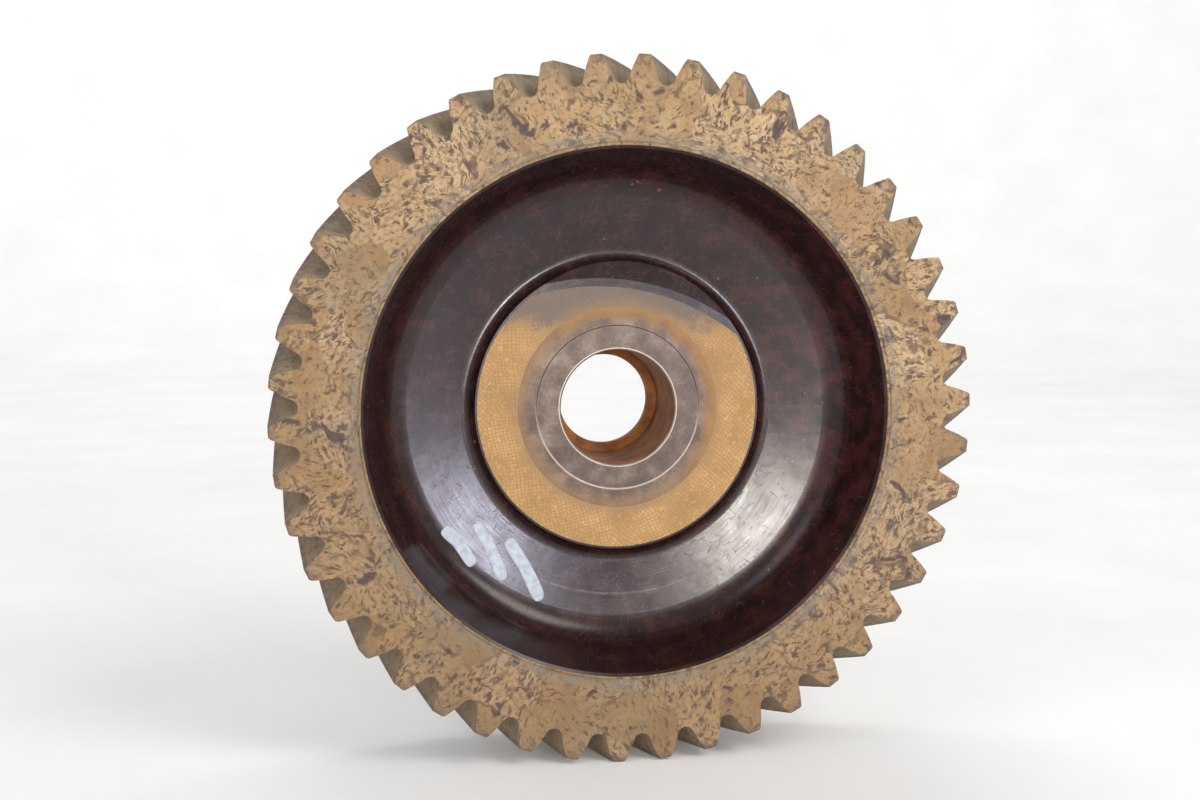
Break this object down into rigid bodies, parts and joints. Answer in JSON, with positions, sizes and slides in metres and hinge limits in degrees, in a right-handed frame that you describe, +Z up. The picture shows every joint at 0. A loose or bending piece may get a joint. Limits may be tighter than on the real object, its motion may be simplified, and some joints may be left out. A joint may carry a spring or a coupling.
{
  "type": "helical camshaft timing gear",
  "caption": "Dished helical timing gear of cloth-reinforced phenolic, moulded round a plain-bored steel hub set back from the rim.",
  "frame": {"origin": "on the gear's axis, in the plane of the bore's shoulder, where the shaft's end seats", "axes": "the gear turns about Y, its dished front side faces -Y, and +Z is up"},
  "size_m": [0.1662, 0.0492, 0.1662],
  "materials": {
    "macerated_phenolic": "cut macerated-cloth phenolic, mottled tan with dark resin veins, matt",
    "woven_phenolic": "faced woven-cloth phenolic, golden tan, fine weave showing",
    "moulded_skin": "moulded phenolic resin skin, very dark red-brown, glossy with fine rub marks",
    "turned_steel": "turned steel, dull brown-grey with light rust",
    "marker_paint": "dried pale paint dabs on the front skin, chalky blue-white"
  },
  "bodies": {
    "root": {"steel_hub": "turned_steel", "cloth_web": "woven_phenolic", "toothed_rim": "macerated_phenolic", "front_skin": "moulded_skin", "rear_skin": "moulded_skin"}
  },
  "joints": []
}
